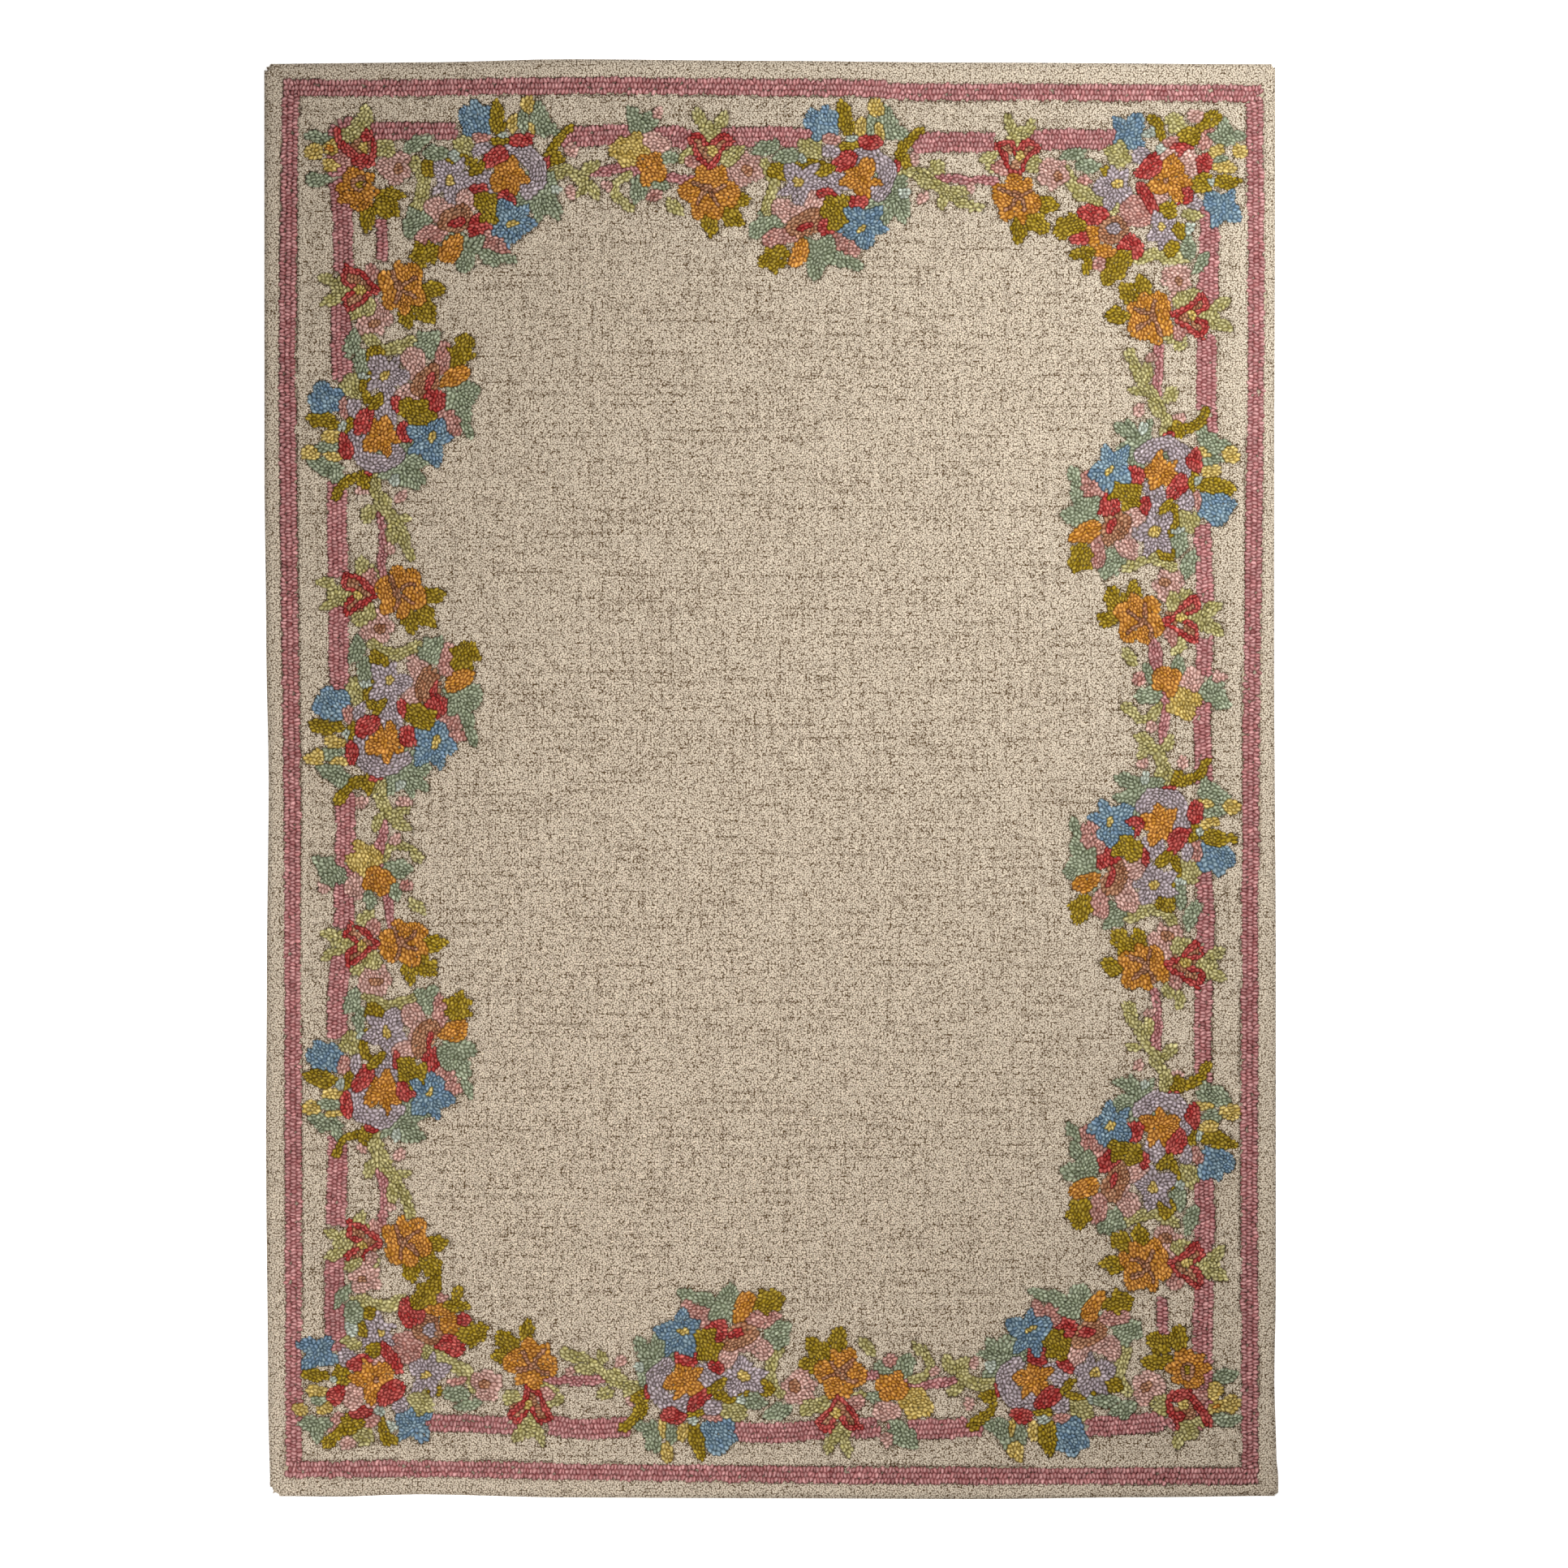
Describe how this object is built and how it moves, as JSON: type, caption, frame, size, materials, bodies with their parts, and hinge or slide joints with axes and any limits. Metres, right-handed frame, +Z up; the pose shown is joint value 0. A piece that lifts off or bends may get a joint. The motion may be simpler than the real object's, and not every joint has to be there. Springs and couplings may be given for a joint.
{
  "type": "wool rug",
  "caption": "Flat rectangular hooked wool rug with a cream looped pile, dusty pink border bands and flower clusters round the field.",
  "frame": {"origin": "middle of the flat underside, on the surface that the rug lies on", "axes": "+Z up through the pile; +Y along the rug's length; +X across its width"},
  "size_m": [1.5092, 2.1412, 0.0116],
  "materials": {
    "cream_wool": "fine cream wool loops, matt",
    "cotton_canvas": "plain cotton foundation cloth, matt",
    "dusty_pink_wool": "dusty pink wool loops in the bands, matt",
    "orange_wool": "orange wool loops, matt",
    "red_wool": "red wool loops, matt",
    "blue_wool": "dusty blue wool loops, matt",
    "lavender_wool": "lavender grey wool loops, matt",
    "blush_wool": "pale blush wool loops, matt",
    "rose_wool": "rose wool loops, matt",
    "olive_wool": "olive green wool loops, matt",
    "sage_wool": "sage green wool loops, matt",
    "celery_wool": "pale yellow-green wool loops, matt",
    "yellow_wool": "yellow wool loops, matt",
    "taupe_wool": "taupe wool loops, matt",
    "aqua_wool": "pale aqua wool loops, matt"
  },
  "bodies": {
    "root": {"hooked_rug": "cream_wool"}
  },
  "joints": []
}
